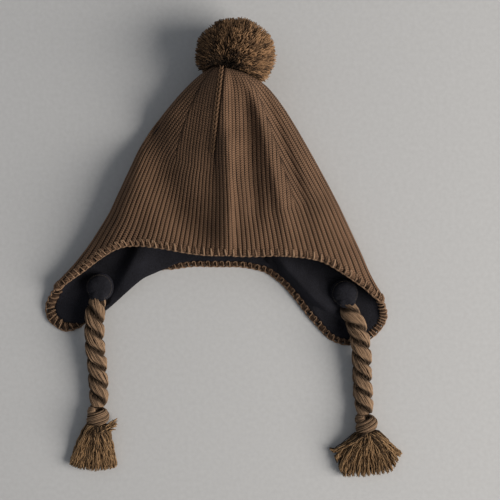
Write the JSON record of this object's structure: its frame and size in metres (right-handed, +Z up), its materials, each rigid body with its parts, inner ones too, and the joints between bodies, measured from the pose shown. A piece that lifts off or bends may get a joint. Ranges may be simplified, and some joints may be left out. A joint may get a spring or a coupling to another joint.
{
  "type": "beanie",
  "caption": "Brown rib-knit winter hat with ear flaps, dark fleece lining, a yarn ball on its tip and twisted ties with tassels, lying flat.",
  "frame": {"origin": "middle of the lying hat's footprint on the surface it rests on, ties left out", "axes": "+Z up from that surface, +Y towards the yarn ball, -Y out of the head opening, +X to the right as seen from above"},
  "size_m": [0.3336, 0.4268, 0.0681],
  "materials": {
    "knit": "dark brown acrylic rib knit, matt, slightly fuzzy",
    "fleece": "dark navy polyester fleece, matt",
    "edge_yarn": "brown whip-stitched yarn",
    "pompom_yarn": "cut brown yarn ends",
    "tie_yarn": "twisted brown yarn"
  },
  "bodies": {
    "root": {"knit_shell": "knit", "lining": "fleece", "edge_stitching": "edge_yarn", "pompom": "pompom_yarn", "tie_patch_left": "fleece", "tie_patch_right": "fleece", "tie_left": "tie_yarn", "tie_right": "tie_yarn", "tie_knot_left": "tie_yarn", "tie_knot_right": "tie_yarn", "tassel_left": "tie_yarn", "tassel_right": "tie_yarn"}
  },
  "joints": []
}
